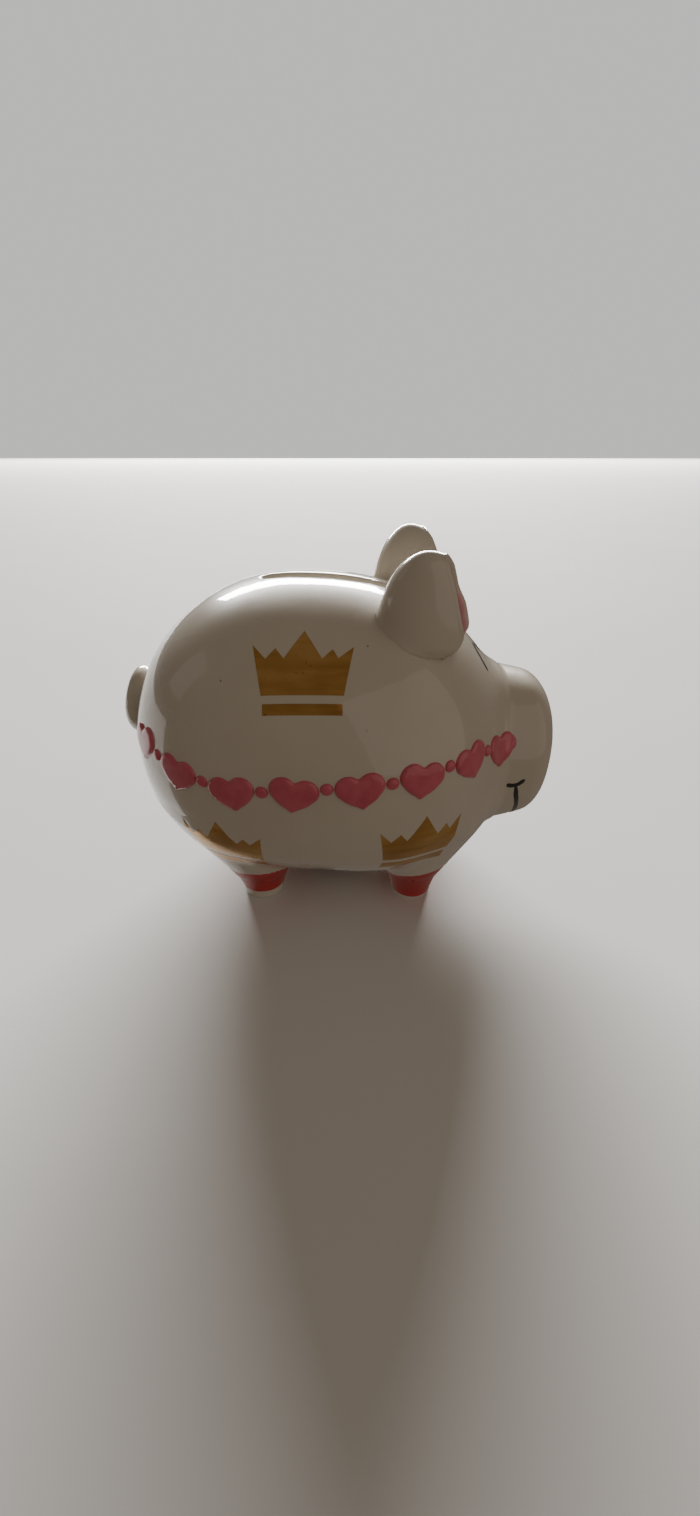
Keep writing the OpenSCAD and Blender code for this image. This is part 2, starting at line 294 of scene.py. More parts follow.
bareClay = clayMaterial()
goldLustre = goldMaterial()
pinkEnamel = enamelMaterial("pink_enamel", (0.70, 0.135, 0.19), (0.60, 0.09, 0.14), 0.06)
blackPaint = enamelMaterial("black_paint", (0.022, 0.016, 0.014), (0.007, 0.006, 0.006), 0.08)
stopperRubber = rubberMaterial()
print("materials made")

# Body casting

trunk = {"rear": 55.2, "front": 50.5, "width": 94.0, "axisZ": 48.5, "rise": 46.2, "drop": 39.6,
         "crestBack": 7.0, "sidePower": 2.34, "crestPower": 2.16, "sectionPower": 2.2, "wall": 4.5,
         "around": 208, "along": 144, "insideAround": 96, "insideAlong": 72,
         "insideEdge": 0.4}
snout = {"reach": 67.4, "axisZ": 44.3, "from": 20.0, "rootH": 61.0, "endH": 41.5,
         "rootW": 57.0, "endW": 38.0, "round": 9.4, "power": 2.65, "neckBlend": 6.4}
legs = {"slope": 2.05, "blend": 4.0, "leanOver": 19.2, "inwards": 2.5, "frontShift": 1.5, "rearShift": -3.0,
        "cutR": 12, "cutAbove": 6, "rim": 0.3, "clear": 0.4, "clearDrop": 1.4, "clearFrom": 3, "clearOver": 6}
slot = {"x": 1.0, "length": 36.0, "width": 4.4, "lip": 1.5, "steps": 6, "facets": 40}
belly = {"landZ": stopperHigh.z / mm - 8.0, "landR": 18.4, "landSoft": 0.9, "holeR": 14.0, "lip": 0.8,
         "collar": 4.5, "steps": 4, "facets": 64}
nostril = {"y": 6.5, "up": 3.0, "width": 4.6, "straight": 1.8, "depth": 2.4, "lip": 1.1, "steps": 5,
           "facets": 28, "zone": 4, "floorTurn": 0.96}
paintLine = {"front": (12.9, 0.34), "rear": (14.5, -0.1), "outwards": 0.08, "hem": 1.3, "legR": 10.6,
             "bare": -6.0, "within": 16, "below": 24}


def egg(x, mid, rear, front, power):
    u = (mid - x) / (mid + rear) if x < mid else (x - mid) / (front - mid)
    return max(0.0, 1 - min(1.0, u) ** power) ** (1 / power)


def snoutHalf(x, deep, root, end):
    share = clamp01((x - snout["from"]) / (snout["reach"] - snout["from"]))
    u = clamp01((x - snout["reach"] + snout["round"]) / (snout["round"] - deep))
    return ((root + (end - root) * share) / 2 - deep) * (1 - u ** snout["power"]) ** (1 / snout["power"])


def sectionAt(x, deep=0.0):
    # top, bottom and half width of the body at x, on a skin that lies deep mm under its outer face
    rear, front = trunk["rear"] - deep, trunk["front"] - deep
    back = egg(x, -trunk["crestBack"], rear, front, trunk["crestPower"])
    side = egg(x, 0, rear, front, trunk["sidePower"])
    top = trunk["axisZ"] + (trunk["rise"] - deep) * back
    low = trunk["axisZ"] - (trunk["drop"] - deep) * side
    half = (trunk["width"] / 2 - deep) * side
    if x < 0:
        return top, low, half
    high = snoutHalf(x, deep, snout["rootH"], snout["endH"])
    wide = snoutHalf(x, deep, snout["rootW"], snout["endW"])
    if x > front:
        return snout["axisZ"] + high, snout["axisZ"] - high, wide
    soft = snout["neckBlend"] * clamp01((snout["reach"] - x) / 10) * clamp01((x + 10) / 30)
    return (softMax(top, snout["axisZ"] + high, soft), -softMax(-low, high - snout["axisZ"], soft),
            softMax(half, wide, soft))


def skinZ(x, y, deep=0.0):
    # height of the upper skin over x and y
    top, low, half = sectionAt(x, deep)
    power = trunk["sectionPower"]
    across = max(0.0, 1 - min(1.0, abs(y) / half) ** power) ** (1 / power)
    return (top + low) / 2 + (top - low) / 2 * across


def moldEgg(bm, deep, around, along):
    made = bmesh.ops.create_uvsphere(bm, u_segments=around, v_segments=along, radius=1,
                                     matrix=Matrix.Rotation(math.pi / 2, 4, "Y"))["verts"]
    rear, front = deep - trunk["rear"], snout["reach"] - deep
    bulge = 2 / trunk["sectionPower"]
    for v in made:
        x = rear + (front - rear) * (v.co.x + 1) / 2
        top, low, half = sectionAt(x, deep)
        ring = math.hypot(v.co.y, v.co.z)
        c, s = (v.co.y / ring, v.co.z / ring) if ring > 1e-6 else (0.0, 0.0)
        v.co = (x, half * sign(c) * abs(c) ** bulge,
                (top + low) / 2 + (top - low) / 2 * sign(s) * abs(s) ** bulge)
    return made


def readFeet():
    feet = {}
    for name in ("foot_front_right", "foot_front_left", "foot_rear_right", "foot_rear_left"):
        low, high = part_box(name)
        shift = legs["frontShift"] if "front" in name else legs["rearShift"]
        feet[name] = {"x": (low.x + high.x) / 2 / mm - wideX, "y": (low.y + high.y) / 2 / mm,
                      "top": high.z / mm, "radius": (high.x - low.x) / 2 / mm, "shift": shift}
    return feet


feet = readFeet()


def footReach(p, foot):
    return math.hypot(p.x - foot["x"], p.y - foot["y"])


def legBottom(x, y, foot):
    # height of the leaning leg root over x and y
    z = foot["top"]
    for guess in range(3):
        lean = clamp01((z - foot["top"]) / legs["leanOver"])
        reach = math.hypot(x - foot["x"] - lean * foot["shift"],
                           y - foot["y"] + lean * legs["inwards"] * sign(foot["y"]))
        z = foot["top"] + legs["slope"] * (reach - foot["radius"])
    return z


def cutWindow(bm, faces, center, along, across, straight, radius, facets):
    # cuts a round-ended window out of these faces and deletes what is inside it
    inside = list(faces)
    for k in range(facets):
        angle = 2 * math.pi * (k + 0.5) / facets
        out = along * math.cos(angle) + across * math.sin(angle)
        touch = center + along * (sign(math.cos(angle)) * straight / 2) + out * radius
        geom = set(inside)
        for f in inside:
            geom.update(f.edges)
            geom.update(f.verts)
        cut = bmesh.ops.bisect_plane(bm, geom=list(geom), dist=1e-4, plane_co=touch, plane_no=out)
        inside = [f for f in cut["geom"] if isinstance(f, bmesh.types.BMFace)
                  and (f.calc_center_median() - touch).dot(out) < 0]
    bmesh.ops.delete(bm, geom=inside, context="FACES")


def ringPlace(p, center, along, across, straight, radius):
    # the same place round the window, at another radius
    u = (p - center).dot(along)
    w = (p - center).dot(across)
    spine = max(-straight / 2, min(straight / 2, u))
    out = along * (u - spine) + across * w
    return center + along * spine + out.normalized() * radius


def makeBody():
    bm = bmesh.new()
    outer = moldEgg(bm, 0, trunk["around"], trunk["along"])
    for v in outer:
        if v.co.z < trunk["axisZ"] - 8:
            root = min(legBottom(v.co.x, v.co.y, foot) for foot in feet.values())
            if root < trunk["axisZ"]:
                v.co.z = -softMax(-v.co.z, -root, legs["blend"])
            # the belly keeps clear of the feet's joints
            for foot in feet.values():
                away = footReach(v.co, foot) - foot["radius"]
                if away > legs["rim"]:
                    drop = legs["clearDrop"] * ease((away - legs["clearFrom"]) / legs["clearOver"])
                    v.co.z = max(v.co.z, foot["top"] + legs["clear"] - drop)
            reach = math.hypot(v.co.x, v.co.y)
            onLand = ease((belly["landR"] + belly["landSoft"] - reach) / (2 * belly["landSoft"]))
            v.co.z += (belly["landZ"] - v.co.z) * onLand
    bm.normal_update()
    skin = BVHTree.FromBMesh(bm)

    # legs end flat on the feet
    jointZ = feet["foot_front_right"]["top"]
    for foot in feet.values():
        faces = [f for f in bm.faces if f.calc_center_median().z < jointZ + legs["cutAbove"]
                 and footReach(f.calc_center_median(), foot) < legs["cutR"]]
        geom = set(faces)
        for f in faces:
            geom.update(f.edges)
            geom.update(f.verts)
        bmesh.ops.bisect_plane(bm, geom=list(geom), dist=1e-4, plane_co=(0, 0, jointZ), plane_no=(0, 0, -1),
                               clear_outer=True)
        loop = boundaryLoop(bm, lambda p: footReach(p, foot) < legs["cutR"])
        for v in {v for e in loop for v in e.verts}:
            out = Vector((v.co.x - foot["x"], v.co.y - foot["y"], 0)).normalized() * foot["radius"]
            v.co = (foot["x"] + out.x, foot["y"] + out.y, jointZ)
        bmesh.ops.holes_fill(bm, edges=loop, sides=0)

    # coin slot with rolled lips
    ex, ey, ez = Vector((1, 0, 0)), Vector((0, 1, 0)), Vector((0, 0, 1))
    slotMid = Vector((slot["x"], 0, trunk["axisZ"] + trunk["rise"]))
    slotR, straight = slot["width"] / 2, slot["length"] - slot["width"]
    near = [f for f in bm.faces if f.calc_center_median().z > trunk["axisZ"] + trunk["rise"] / 2
            and abs(f.calc_center_median().y) < slot["width"] * 2]
    cutWindow(bm, near, slotMid, ex, ey, straight, slotR + slot["lip"], slot["facets"])
    slotLoop = boundaryLoop(bm, lambda p: p.z > trunk["axisZ"])
    for k in range(1, slot["steps"] + 1):
        roll = math.pi / 2 * k / slot["steps"]
        verts, slotLoop = extrudeLoop(bm, slotLoop)
        for v in verts:
            p = ringPlace(v.co, slotMid, ex, ey, straight, slotR + slot["lip"] * (1 - math.sin(roll)))
            v.co = (p.x, p.y, skinZ(p.x, p.y) - slot["lip"] * (1 - math.cos(roll)))
    verts, slotLoop = extrudeLoop(bm, slotLoop)
    for v in verts:
        v.co.z = skinZ(v.co.x, v.co.y, trunk["wall"]) + 0.5

    # round hole in the belly, with a soft edge
    center = Vector((0, 0, belly["landZ"]))
    near = [f for f in bm.faces if f.calc_center_median().z < belly["landZ"] + 3
            and math.hypot(f.calc_center_median().x, f.calc_center_median().y) < belly["landR"]]
    cutWindow(bm, near, center, ex, ey, 0, belly["holeR"] + belly["lip"], belly["facets"])
    holeLoop = boundaryLoop(bm, lambda p: p.z < trunk["axisZ"])
    for k in range(1, belly["steps"] + 1):
        roll = math.pi / 2 * k / belly["steps"]
        verts, holeLoop = extrudeLoop(bm, holeLoop)
        for v in verts:
            p = ringPlace(v.co, center, ex, ey, 0, belly["holeR"] + belly["lip"] * (1 - math.sin(roll)))
            v.co = (p.x, p.y, belly["landZ"] + belly["lip"] * (1 - math.cos(roll)))
    verts, holeLoop = extrudeLoop(bm, holeLoop)
    for v in verts:
        v.co.z = belly["landZ"] + belly["collar"]

    # nostrils: two upright ovals with a dished floor
    for side in (-1, 1):
        center = Vector((snout["reach"], side * nostril["y"], snout["axisZ"] + nostril["up"]))
        zoneX = snout["reach"] - nostril["zone"]
        near = [f for f in bm.faces if f.calc_center_median().x > zoneX]
        radius = nostril["width"] / 2
        cutWindow(bm, near, center, ez, ey, nostril["straight"], radius + nostril["lip"], nostril["facets"])
        loop = boundaryLoop(bm, lambda p: p.x > zoneX and p.y * side > 0)
        rolls = [math.pi / 2 * k / nostril["steps"] for k in range(1, nostril["steps"] + 1)]
        lip, dish = nostril["lip"], nostril["depth"] - nostril["lip"]
        rings = [(radius + lip * (1 - math.sin(a)), lip * (1 - math.cos(a))) for a in rolls]
        rings += [(radius * math.cos(a * nostril["floorTurn"]), lip + dish * math.sin(a)) for a in rolls]
        for size, drop in rings:
            verts, loop = extrudeLoop(bm, loop)
            for v in verts:
                p = ringPlace(v.co, center, ez, ey, nostril["straight"], size)
                hit = skin.ray_cast(Vector((p.x + 20, p.y, p.z)), -ex)[0]
                v.co = (hit.x - drop, p.y, p.z)
        bmesh.ops.holes_fill(bm, edges=loop, sides=0)

    # bare inside of the casting, joined to the outside through the slot and the hole
    outside = set(bm.faces)
    inner = moldEgg(bm, trunk["wall"], trunk["insideAround"], trunk["insideAlong"])
    collarZ = belly["landZ"] + belly["collar"]
    for v in inner:
        reach = math.hypot(v.co.x, v.co.y)
        if v.co.z < trunk["axisZ"]:
            onCollar = ease((belly["landR"] + belly["landSoft"] - reach) / (2 * belly["landSoft"]))
            v.co.z += (collarZ - v.co.z) * onCollar
    near = [f for f in bm.faces if f not in outside and f.calc_center_median().z > trunk["axisZ"] + 20
            and abs(f.calc_center_median().y) < slot["width"] * 2]
    cutWindow(bm, near, slotMid, ex, ey, straight, slotR + trunk["insideEdge"], slot["facets"])
    near = [f for f in bm.faces if f not in outside and f.calc_center_median().z < collarZ + 3
            and math.hypot(f.calc_center_median().x, f.calc_center_median().y) < belly["landR"]]
    insideR = belly["holeR"] + trunk["insideEdge"]
    cutWindow(bm, near, Vector((0, 0, collarZ)), ex, ey, 0, insideR, belly["facets"])
    for f in bm.faces:
        if f not in outside:
            f.material_index = 1
    for upper in (True, False):
        rims = boundaryLoop(bm, lambda p: (p.z > trunk["axisZ"]) == upper)
        bmesh.ops.triangle_fill(bm, edges=rims, use_beauty=True, normal=ez)
    # slivers left by the cuts
    bmesh.ops.dissolve_degenerate(bm, edges=bm.edges, dist=sliver)
    bmesh.ops.recalc_face_normals(bm, faces=bm.faces)

    # red of the feet runs a little way up each leg
    layer = bm.verts.layers.float.new("paintEdge")
    for v in bm.verts:
        v[layer] = paintLine["bare"]
        for name, foot in feet.items():
            dx, dy = v.co.x - foot["x"], (v.co.y - foot["y"]) * sign(foot["y"])
            if math.hypot(dx, dy) < paintLine["within"] and v.co.z < paintLine["below"]:
                level, forwards = paintLine["front" if "front" in name else "rear"]
                level += paintLine["outwards"] * dy + forwards * dx
                level -= paintLine["hem"] * max(0.0, math.hypot(dx, dy) - paintLine["legR"])
                v[layer] = max(v[layer], level - v.co.z)
    finishPiece(bm, "body_casting", [footedGlaze, bareClay], nodes=["body_shell"])
    return skin


skin = makeBody()

# Ears

# the cup depth also sets how much the pink darkens towards the bottom of the cup, which is painted shade of
# the hollow
ear = {"x": 24.6, "y": 20.0, "rise": 19.0, "back": 11.4, "fore": 14.0, "width": 18.0, "lean": 4.5,
       "sink": 2.0, "front": 11.9, "turn": 16, "tilt": 15, "curl": 42.0, "curlFrom": 10.8,
       "lip": 3.4, "lipTop": 3.1, "backWall": 2.8, "rimWall": 1.9,
       "around": 88, "rings": 40, "rimCuts": 6, "seat": 1.2, "floor": 0.4, "cupDepthAndShade": 22.0,
       "flare": 0.6, "flareUp": 2.2, "setBack": 0.27, "setBackFrom": 7, "setBackOver": 6,
       "pinkTop": 9.5, "pinkFade": 7.0, "whiteTip": 5.0}


def eggPoint(d):
    up, down = ear["rise"] + ear["sink"], ear["back"] * 0.4
    return Vector(((ear["fore"] if d.x > 0 else ear["back"]) * d.x,
                   ear["width"] / 2 * d.y + ear["lean"] * max(0.0, d.z) ** 2,
                   d.z * (up if d.z > 0 else down)))


def rimNormal(z):
    # the rim leans back, curls back further towards the tip and turns under at the lower lip
    lean = math.tan(math.radians(ear["tilt"])) + max(0.0, z - ear["curlFrom"]) / ear["curl"]
    lean -= max(0.0, ear["lipTop"] - z) / ear["lip"]
    turn = math.radians(ear["turn"])
    return Vector((math.cos(turn), math.sin(turn), lean)).normalized()


def beyondRim(p):
    turn = math.radians(ear["turn"])
    rimX = ear["front"] - p.z * math.tan(math.radians(ear["tilt"]))
    rimX -= max(0.0, p.z - ear["curlFrom"]) ** 2 / (2 * ear["curl"]) + ear["rimWall"] / 2
    rimX -= max(0.0, ear["lipTop"] - p.z) ** 2 / (2 * ear["lip"])
    # the wall nearer the crown of the head stands further back in its upper half
    setBack = ear["setBack"] * ease((p.z - ear["setBackFrom"]) / ear["setBackOver"]) * max(0.0, -p.y)
    return p.x * math.cos(turn) + p.y * math.sin(turn) + setBack > rimX


def makeEar(side):
    bm = bmesh.new()
    layer = bm.verts.layers.float.new("paintEdge")
    bmesh.ops.create_uvsphere(bm, u_segments=ear["around"], v_segments=2 * ear["rings"], radius=1)
    bmesh.ops.bisect_plane(bm, geom=bm.verts[:] + bm.edges[:] + bm.faces[:], dist=1e-4,
                           plane_co=(0, 0, 0), plane_no=(0, 0, -1), clear_outer=True)
    pole = -rimNormal(ear["curlFrom"])
    e1 = pole.cross(Vector((0, 1, 0))).normalized()
    e2 = pole.cross(e1)
    share = {}
    for v in bm.verts:
        polar = math.acos(clamp01(v.co.z))
        azimuth = math.atan2(v.co.y, v.co.x)
        ray = e1 * math.cos(azimuth) + e2 * math.sin(azimuth)
        low, high = 0.5, math.pi
        for halving in range(40):
            middle = (low + high) / 2
            outside = beyondRim(eggPoint(pole * math.cos(middle) + ray * math.sin(middle)))
            low, high = (low, middle) if outside else (middle, high)
        bend = polar / (math.pi / 2) * low
        v.co = eggPoint(pole * math.cos(bend) + ray * math.sin(bend))
        share[v] = polar / (math.pi / 2)
    bmesh.ops.recalc_face_normals(bm, faces=bm.faces)
    bm.normal_update()
    if sum((f.normal.dot(f.calc_center_median()) for f in bm.faces), 0.0) < 0:
        bmesh.ops.reverse_faces(bm, faces=bm.faces)
    bm.normal_update()

    # inner wall, then a rolled rim between the two
    wall = {v.co.to_tuple(5): (v.normal.copy(), share[v]) for v in bm.verts}
    made = bmesh.ops.extrude_face_region(bm, geom=bm.faces[:], use_keep_orig=True)["geom"]
    inner = [g for g in made if isinstance(g, bmesh.types.BMVert)]
    depth = {}
    for v in bm.verts:
        depth[v.co.to_tuple(4)] = -1.0
    spans = []
    for v in inner:
        normal, part = wall[v.co.to_tuple(5)]
        start = v.co.copy()
        v.co -= normal * (ear["backWall"] + (ear["rimWall"] - ear["backWall"]) * part)
        # the value grows towards the bottom of the cup, where the material darkens the pink as painted shade
        depth[v.co.to_tuple(4)] = 1.0 + (1 - part) * ear["cupDepthAndShade"]
        if part > 0.999:
            spans.append((start, v.co.copy()))
    innerSet = set(inner)
    cross = [e for e in bm.edges if (e.verts[0] in innerSet) != (e.verts[1] in innerSet)]
    bmesh.ops.subdivide_edges(bm, edges=cross, cuts=ear["rimCuts"], use_grid_fill=True)
    inside = {}
    for v in bm.verts:
        known = depth.get(v.co.to_tuple(4))
        if known is None:
            a, b = min(spans, key=lambda s: (s[0] - v.co).length + (s[1] - v.co).length
                       - (s[1] - s[0]).length)
            t = clamp01((v.co - a).length / (b - a).length)
            v.co += rimNormal(v.co.z) * (b - a).length / 2 * math.sqrt(max(0.0, 1 - (2 * t - 1) ** 2))
            known = (t - 0.45) * 2
        inside[v] = known > 0
        fade = ease((v.co.z - ear["pinkTop"]) / ear["pinkFade"])
        v[layer] = known - ear["whiteTip"] * fade

    # set on the head, with the clay smoothed out round the joint
    baseZ = skinZ(ear["x"], ear["y"]) - ear["sink"]
    for v in bm.verts:
        x, y, z = ear["x"] + v.co.x, ear["y"] + v.co.y, baseZ + v.co.z
        headZ = skinZ(x, y)
        if not inside[v]:
            away = Vector((v.co.x, v.co.y, 0)).normalized()
            swell = ear["flare"] * clamp01(1 - (z - headZ) / ear["flareUp"]) ** 2
            x, y = x + away.x * swell, y + away.y * swell
            z = max(z, skinZ(x, y) - ear["seat"])
        else:
            z = max(z, headZ + ear["floor"])
        v.co = (x, side * y, z)
    bmesh.ops.recalc_face_normals(bm, faces=bm.faces)
    name = "right" if side < 0 else "left"
    finishPiece(bm, "ear_cup_" + name, [earGlaze], nodes=["ear_" + name])


for side in (-1, 1):
    makeEar(side)

# Tail

tail = {"up": 9.0, "curlR": 7.0, "rootD": 7.0, "tipD": 5.4, "off": 4.6, "tilt": 17, "rootSink": 2.0,
        "risePower": 0.45, "sides": 24, "steps": 84, "tipShare": 0.12, "seat": 1.2}


def makeTail():
    bm = bmesh.new()
    pitch = tail["off"] + tail["rootSink"]
    ring = bmesh.ops.create_circle(bm, segments=tail["sides"], radius=1,
                                   matrix=Matrix.Translation((tail["rootSink"], 0, -tail["curlR"]))
                                   @ Matrix.Rotation(math.pi / 2, 4, "X"))["verts"]
    bmesh.ops.spin(bm, geom=ring + bm.edges[:], cent=(0, 0, 0), axis=(-1, 0, 0), angle=2 * math.pi,
                   dvec=(-pitch / tail["steps"], 0, 0), steps=tail["steps"], use_duplicate=False)
    bm.verts.ensure_lookup_table()
    for k in range(tail["steps"] + 1):
        t = k / tail["steps"]
        verts = [bm.verts[k * tail["sides"] + j] for j in range(tail["sides"])]
        middle = sum((v.co for v in verts), Vector()) / tail["sides"]
        tip = max(0.0, t - 1 + tail["tipShare"]) / tail["tipShare"]
        size = (tail["rootD"] + (tail["tipD"] - tail["rootD"]) * t) / 2
        size *= math.sqrt(max(0.002, 1 - tip ** 2))
        ahead = tail["rootSink"] - pitch * t ** tail["risePower"]
        for v in verts:
            v.co = middle + (v.co - middle) * size
            v.co.x += ahead - middle.x
    bmesh.ops.holes_fill(bm, edges=[e for e in bm.edges if e.is_boundary], sides=0)
    bmesh.ops.recalc_face_normals(bm, faces=bm.faces)
    rumpX = trunk["crestBack"] + (trunk["rear"] - trunk["crestBack"]) * (
        1 - (tail["up"] / trunk["rise"]) ** trunk["crestPower"]) ** (1 / trunk["crestPower"])
    bmesh.ops.rotate(bm, verts=bm.verts, cent=(0, 0, 0),
                     matrix=Matrix.Rotation(math.radians(tail["tilt"]), 3, "Y"))
    bmesh.ops.translate(bm, verts=bm.verts, vec=(-rumpX, 0, trunk["axisZ"] + tail["up"]))
    for v in bm.verts:
        spot, normal, face, gap = skin.find_nearest(v.co)
        if (v.co - spot).dot(normal) < -tail["seat"]:
            v.co = spot - normal * tail["seat"]
    finishPiece(bm, "tail_curl", [whiteGlaze], nodes=["tail"])


makeTail()

# Feet

foot = {"soleR": 6.3, "round": 1.3, "flare": 0.35, "around": 64, "rise": 14, "slant": 0.05,
        "whiteEdge": {"foot_front_right": 0.5, "foot_front_left": 0.9,
                      "foot_rear_right": 3.9, "foot_rear_left": 3.2}}


def makeFoot(name):
    at = feet[name]
    bm = bmesh.new()
    outline = [Vector((0, 0, 0))]
    for k in range(7):
        a = math.pi / 2 * (k / 6 - 1)
        outline.append(Vector((foot["soleR"] - foot["round"] + foot["round"] * math.cos(a), 0,
                               foot["round"] + foot["round"] * math.sin(a))))
    for k in range(1, foot["rise"] + 1):
        t = k / foot["rise"]
        flare = t + foot["flare"] * (t * t - t)
        outline.append(Vector((foot["soleR"] + (at["radius"] - foot["soleR"]) * flare, 0,
                               foot["round"] + (at["top"] - foot["round"]) * t)))
    outline.append(Vector((0, 0, at["top"])))
    verts = [bm.verts.new(p) for p in outline]
    edges = [bm.edges.new(pair) for pair in zip(verts, verts[1:])]
    bmesh.ops.spin(bm, geom=verts + edges, cent=(0, 0, 0), axis=(0, 0, 1), angle=2 * math.pi,
                   steps=foot["around"], use_merge=True, dvec=(0, 0, 0))
    bmesh.ops.remove_doubles(bm, verts=bm.verts, dist=1e-4)
    bmesh.ops.recalc_face_normals(bm, faces=bm.faces)
    layer = bm.verts.layers.float.new("paintEdge")
    for v in bm.verts:
        v[layer] = v.co.z - foot["whiteEdge"][name] + foot["slant"] * v.co.x
    bmesh.ops.translate(bm, verts=bm.verts, vec=(at["x"], at["y"], 0))
    finishPiece(bm, "stub_" + name, [footedGlaze], nodes=[name])


for name in feet:
    makeFoot(name)

# Stopper

stopper = {"plugLength": 8.0, "flange": 2.2, "flangeR": 17.4, "holeGap": 0.1, "bead": 0.5, "wall": 4.0,
           "grip": 3.0, "barSink": 0.3, "barShort": 0.2, "barRound": 0.7, "round": 0.6, "around": 96}


def arcPoints(x, z, radius, start, end, steps=5):
    # quarter rounds of the turned outline, angles in degrees
    angles = [math.radians(start + (end - start) * k / steps) for k in range(steps + 1)]
    return [(x + radius * math.cos(a), z + radius * math.sin(a)) for a in angles]


def makeStopper():
    beadR = belly["holeR"] - stopper["holeGap"]
    plugR = beadR - stopper["bead"]
    recessR, recessTop = plugR - stopper["wall"], stopper["plugLength"] - stopper["wall"]
    r, low, beadH = stopper["round"], -stopper["flange"], stopper["plugLength"] / 5
    outline = [(0, recessTop)] + arcPoints(recessR - r, recessTop - r, r, 90, 0)
    outline += arcPoints(recessR + r, low + r, r, 180, 270)
    outline += arcPoints(stopper["flangeR"] - r, low + r, r, 270, 360)
    outline += [(stopper["flangeR"], 0), (plugR, 0)]
    for z in (stopper["plugLength"] / 3, stopper["plugLength"] * 2 / 3):
        for k in range(9):
            a = math.pi * (k / 8)
            outline.append((plugR + stopper["bead"] * math.sin(a), z - beadH / 2 * math.cos(a)))
    outline += arcPoints(plugR - r, stopper["plugLength"] - r, r, 0, 90) + [(0, stopper["plugLength"])]
    bm = bmesh.new()
    verts = [bm.verts.new((x, 0, z)) for x, z in outline]
    edges = [bm.edges.new(pair) for pair in zip(verts, verts[1:])]
    bmesh.ops.spin(bm, geom=verts + edges, cent=(0, 0, 0), axis=(0, 0, 1), angle=2 * math.pi,
                   steps=stopper["around"], use_merge=True, dvec=(0, 0, 0))
    bmesh.ops.remove_doubles(bm, verts=bm.verts, dist=1e-4)
    bmesh.ops.recalc_face_normals(bm, faces=bm.faces)
    # bar across the finger recess
    barTop, barLow = recessTop + stopper["barSink"], low + stopper["barShort"]
    place = Matrix.Translation((0, 0, (barTop + barLow) / 2))
    size = Matrix.Diagonal((2 * (recessR + stopper["barSink"]), stopper["grip"], barTop - barLow, 1))
    bar = bmesh.ops.create_cube(bm, size=1, matrix=place @ size)["verts"]
    lower = [e for v in bar for e in v.link_edges if all(p.co.z < 0 for p in e.verts)]
    bmesh.ops.bevel(bm, geom=list(set(lower)), offset=stopper["barRound"], segments=5, profile=0.5,
                    affect="EDGES", material=-1)
    bmesh.ops.translate(bm, verts=bm.verts, vec=(0, 0, belly["landZ"]))
    finishPiece(bm, "stopper_plug", [stopperRubber], body="stopper",
                nodes=["belly_stopper"], sharp=45)


makeStopper()

# Painted and raised ornament

paint = {"sink": 0.15, "gold": 0.06, "ink": 0.06, "grid": 0.9, "castFrom": 25}


def surfaceFrame(place, tilt):
    # middle, right, up and outward directions of a motif on the body's skin, tilt in degrees
    spot, normal, face, gap = skin.find_nearest(place)
    up = (Vector((0, 0, 1)) - normal * normal.z).normalized()
    right = up.cross(normal)
    a = math.radians(tilt)
    return spot, right * math.cos(a) + up * math.sin(a), up * math.cos(a) - right * math.sin(a), normal


def outlineGap(p, outline):
    best = 1e9
    for a, b in zip(outline, outline[1:] + outline[:1]):
        span = b - a
        t = clamp01((p - a).dot(span) / span.length_squared)
        best = min(best, (p - a - span * t).length)
    return best


def layMotif(bm, outline, place, tilt, height, roll=0.0, insets=()):
    # fills a flat outline, lays it on the skin and raises it, with a rolled edge if roll is given
    spot, right, up, normal = surfaceFrame(place, tilt)
    flat = [Vector((x, y, 0)) for x, y in outline]
    work = bmesh.new()
    work.faces.new([work.verts.new(p) for p in flat])
    core = work.faces[:]
    for step in insets:
        bmesh.ops.inset_region(work, faces=core, thickness=step, use_even_offset=True, use_boundary=True)
    for axis in (0, 1):
        low, high = min(p[axis] for p in flat), max(p[axis] for p in flat)
        normalTo = Vector((1 - axis, axis, 0))
        for k in range(1, int((high - low) / paint["grid"]) + 1):
            bmesh.ops.bisect_plane(work, geom=work.verts[:] + work.edges[:] + work.faces[:], dist=1e-3,
                                   plane_co=normalTo * (low + k * paint["grid"]), plane_no=normalTo)
    bmesh.ops.triangulate(work, faces=work.faces)
    made = bmesh.ops.extrude_face_region(work, geom=work.faces[:], use_keep_orig=True)["geom"]
    tops = {g for g in made if isinstance(g, bmesh.types.BMVert)}
    for v in work.verts:
        rise = -paint["sink"]
        if v in tops:
            rise = height
            if roll:
                t = clamp01(outlineGap(v.co, flat) / roll)
                rise = height * math.sqrt(max(0.0, 1 - (1 - t) ** 2))
        above = spot + right * v.co.x + up * v.co.y
        hit, facing, face, gap = skin.ray_cast(above + normal * paint["castFrom"], -normal)
        v.co = hit + facing * rise
    bmesh.ops.remove_doubles(work, verts=work.verts, dist=weldGap)
    bmesh.ops.recalc_face_normals(work, faces=work.faces)
    mesh = bpy.data.meshes.new("motif")
    work.to_mesh(mesh)
    work.free()
    bm.from_mesh(mesh)
    bpy.data.meshes.remove(mesh)


def mirrorAcross(bm):
    # the same on the pig's other side
    bmesh.ops.mirror(bm, geom=bm.verts[:] + bm.edges[:] + bm.faces[:], matrix=Matrix.Identity(4),
                     merge_dist=-1, axis="Y")
    bmesh.ops.recalc_face_normals(bm, faces=bm.faces)


crown = {
    "tips": [(-11.7, 12.3), (-8.6, 8.6), (-6.4, 11.3), (-4.4, 8.6), (0.1, 16.0),
             (4.3, 8.6), (6.7, 11.1), (8.0, 8.8), (11.5, 11.9)],
    "baseHalf": 9.3, "bandTop": -1.9, "bandHalf": 9.0,
    "places": {"side": (-3.4, -35.5, 80.1), "front": (25.8, -41.6, 35.2), "rear": (-25.8, -40.0, 32.9)},
    "bandLow": {"side": -4.4, "front": -5.7, "rear": -5.7},
    "middle": 5.5,
}


